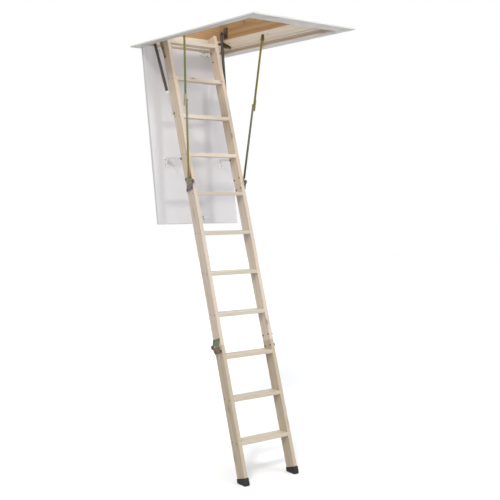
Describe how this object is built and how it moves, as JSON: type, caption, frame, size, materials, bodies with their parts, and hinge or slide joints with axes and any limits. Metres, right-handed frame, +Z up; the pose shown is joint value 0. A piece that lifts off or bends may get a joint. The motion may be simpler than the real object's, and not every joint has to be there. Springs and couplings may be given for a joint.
{
  "type": "folding loft ladder with hatch",
  "caption": "Folding timber loft ladder in a hatch casing, with hinged sections, folding side stays, counterbalance springs and a hanging hatch door.",
  "frame": {"origin": "centre of the hatch casing on the ceiling plane, the back face of the architrave", "axes": "+Z up, +X to the climber's right when facing the treads, +Y away from the climber towards the ladder's hinge end"},
  "size_m": [0.71, 1.288, 2.8],
  "materials": {
    "casing_board": "satin",
    "lining_board": "satin",
    "ladder_wood": "satin",
    "white_trim": "painted",
    "white_door": "painted",
    "seal": "matte",
    "dark_fasteners": "black zinc",
    "yellow_passivated_steel": "yellow passivated",
    "dark_steel": "satin",
    "zinc_steel": "zinc",
    "black_plastic": "matte",
    "black_rubber": "matte"
  },
  "bodies": {
    "casing": {"casing_left": "casing_board", "casing_right": "casing_board", "casing_front": "casing_board", "casing_hinge_end": "casing_board", "lining_left": "lining_board", "lining_right": "lining_board", "lining_front": "lining_board", "lining_hinge_end": "lining_board", "architrave_left": "white_trim", "architrave_right": "white_trim", "architrave_front": "white_trim", "architrave_hinge_end": "white_trim", "draught_seal": "seal", "casing_screws": "dark_fasteners", "pivot_brackets": "dark_steel", "stay_brackets": "yellow_passivated_steel", "spring_brackets": "dark_steel", "latch_case": "black_plastic", "door_hinge_leaves_fixed": "zinc_steel"},
    "latch": {"latch_tongue": "zinc_steel"},
    "door": {"door_panel": "white_door", "door_hinge_leaves": "zinc_steel", "door_brackets": "zinc_steel", "latch_keeper": "zinc_steel"},
    "section_1": {"stile_1_left": "ladder_wood", "stile_1_right": "ladder_wood", "tread_08": "ladder_wood", "tread_09": "ladder_wood", "tread_10": "ladder_wood", "tread_11": "ladder_wood", "pivot_arms": "yellow_passivated_steel", "fold_1_upper_leaves": "yellow_passivated_steel", "section_1_bolts": "dark_fasteners", "section_1_screws": "dark_fasteners"},
    "section_2": {"stile_2_left": "ladder_wood", "stile_2_right": "ladder_wood", "tread_04": "ladder_wood", "tread_05": "ladder_wood", "tread_06": "ladder_wood", "tread_07": "ladder_wood", "fold_1_lower_leaves": "dark_steel", "fold_2_upper_leaves": "yellow_passivated_steel", "section_2_bolts": "dark_fasteners", "section_2_screws": "dark_fasteners"},
    "section_3": {"stile_3_left": "ladder_wood", "stile_3_right": "ladder_wood", "tread_01": "ladder_wood", "tread_02": "ladder_wood", "tread_03": "ladder_wood", "fold_2_lower_leaves": "dark_steel", "section_3_bolts": "dark_fasteners", "section_3_screws": "dark_fasteners", "feet": "black_rubber"},
    "stay_upper": {"stay_upper_bars": "yellow_passivated_steel", "stay_knees": "yellow_passivated_steel"},
    "stay_lower": {"stay_lower_bars": "yellow_passivated_steel"},
    "spring_covers": {"spring_covers": "black_plastic"},
    "spring_rod_left": {"spring_rod_left": "zinc_steel"},
    "spring_rod_right": {"spring_rod_right": "zinc_steel"},
    "link_arms": {"link_arms": "zinc_steel"}
  },
  "joints": [
    {"name": "ladder_pivot", "type": "hinge", "parent": "casing", "child": "section_1", "pos_m": [0, 0.52, 0.062], "axis": [-1, 0, 0], "range_deg": [0, 63]},
    {"name": "door_hinge", "type": "hinge", "parent": "casing", "child": "door", "pos_m": [0, 0.563, -0.003], "axis": [-1, 0, 0], "range_deg": [0, 70.2]},
    {"name": "fold_1", "type": "hinge", "parent": "section_1", "child": "section_2", "pos_m": [0, 0.13691, -0.85], "axis": [-1, 0, 0], "range_deg": [0, 180]},
    {"name": "fold_2", "type": "hinge", "parent": "section_2", "child": "section_3", "pos_m": [0, -0.07281, -1.83276], "axis": [1, 0, 0], "range_deg": [0, 180]},
    {"name": "stay_upper_pivot", "type": "hinge", "parent": "casing", "child": "stay_upper", "pos_m": [0, 0.09, 0.038], "axis": [-1, 0, 0], "range_deg": [0, 145]},
    {"name": "stay_knuckle", "type": "hinge", "parent": "stay_upper", "child": "stay_lower", "pos_m": [0, 0.12641, -0.37038], "axis": [1, 0, 0], "range_deg": [0, 106]},
    {"name": "spring_swing", "type": "hinge", "parent": "casing", "child": "spring_covers", "pos_m": [0, 0.51, 0.13], "axis": [-1, 0, 0], "range_deg": [0, 59]},
    {"name": "spring_slide_left", "type": "slide", "parent": "spring_covers", "child": "spring_rod_left", "axis": [-0.1109, 0.2719, 0.9559], "range_m": [0, 0.0595]},
    {"name": "spring_slide_right", "type": "slide", "parent": "spring_covers", "child": "spring_rod_right", "axis": [0.1109, 0.2719, 0.9559], "range_m": [0, 0.0595]},
    {"name": "link_swing", "type": "hinge", "parent": "section_1", "child": "link_arms", "pos_m": [0, 0.26385, -0.71206], "axis": [1, 0, 0], "range_deg": [0, 47.1]},
    {"name": "latch_slide", "type": "slide", "parent": "casing", "child": "latch", "axis": [0, -1, 0], "range_m": [0, 0.01]}
  ],
  "couplings": [
    {"joint": "door_hinge", "follows": "ladder_pivot", "ratio": 1.1134},
    {"joint": "stay_upper_pivot", "follows": "ladder_pivot", "ratio": 2.3011},
    {"joint": "stay_knuckle", "follows": "ladder_pivot", "ratio": 1.6778},
    {"joint": "spring_swing", "follows": "ladder_pivot", "ratio": 0.92983},
    {"joint": "spring_slide_left", "follows": "ladder_pivot", "m_per_rad": 0.052897},
    {"joint": "spring_slide_right", "follows": "ladder_pivot", "m_per_rad": 0.052897},
    {"joint": "link_swing", "follows": "ladder_pivot", "ratio": 0.74379},
    {"joint": "fold_2", "follows": "fold_1", "ratio": 1}
  ]
}
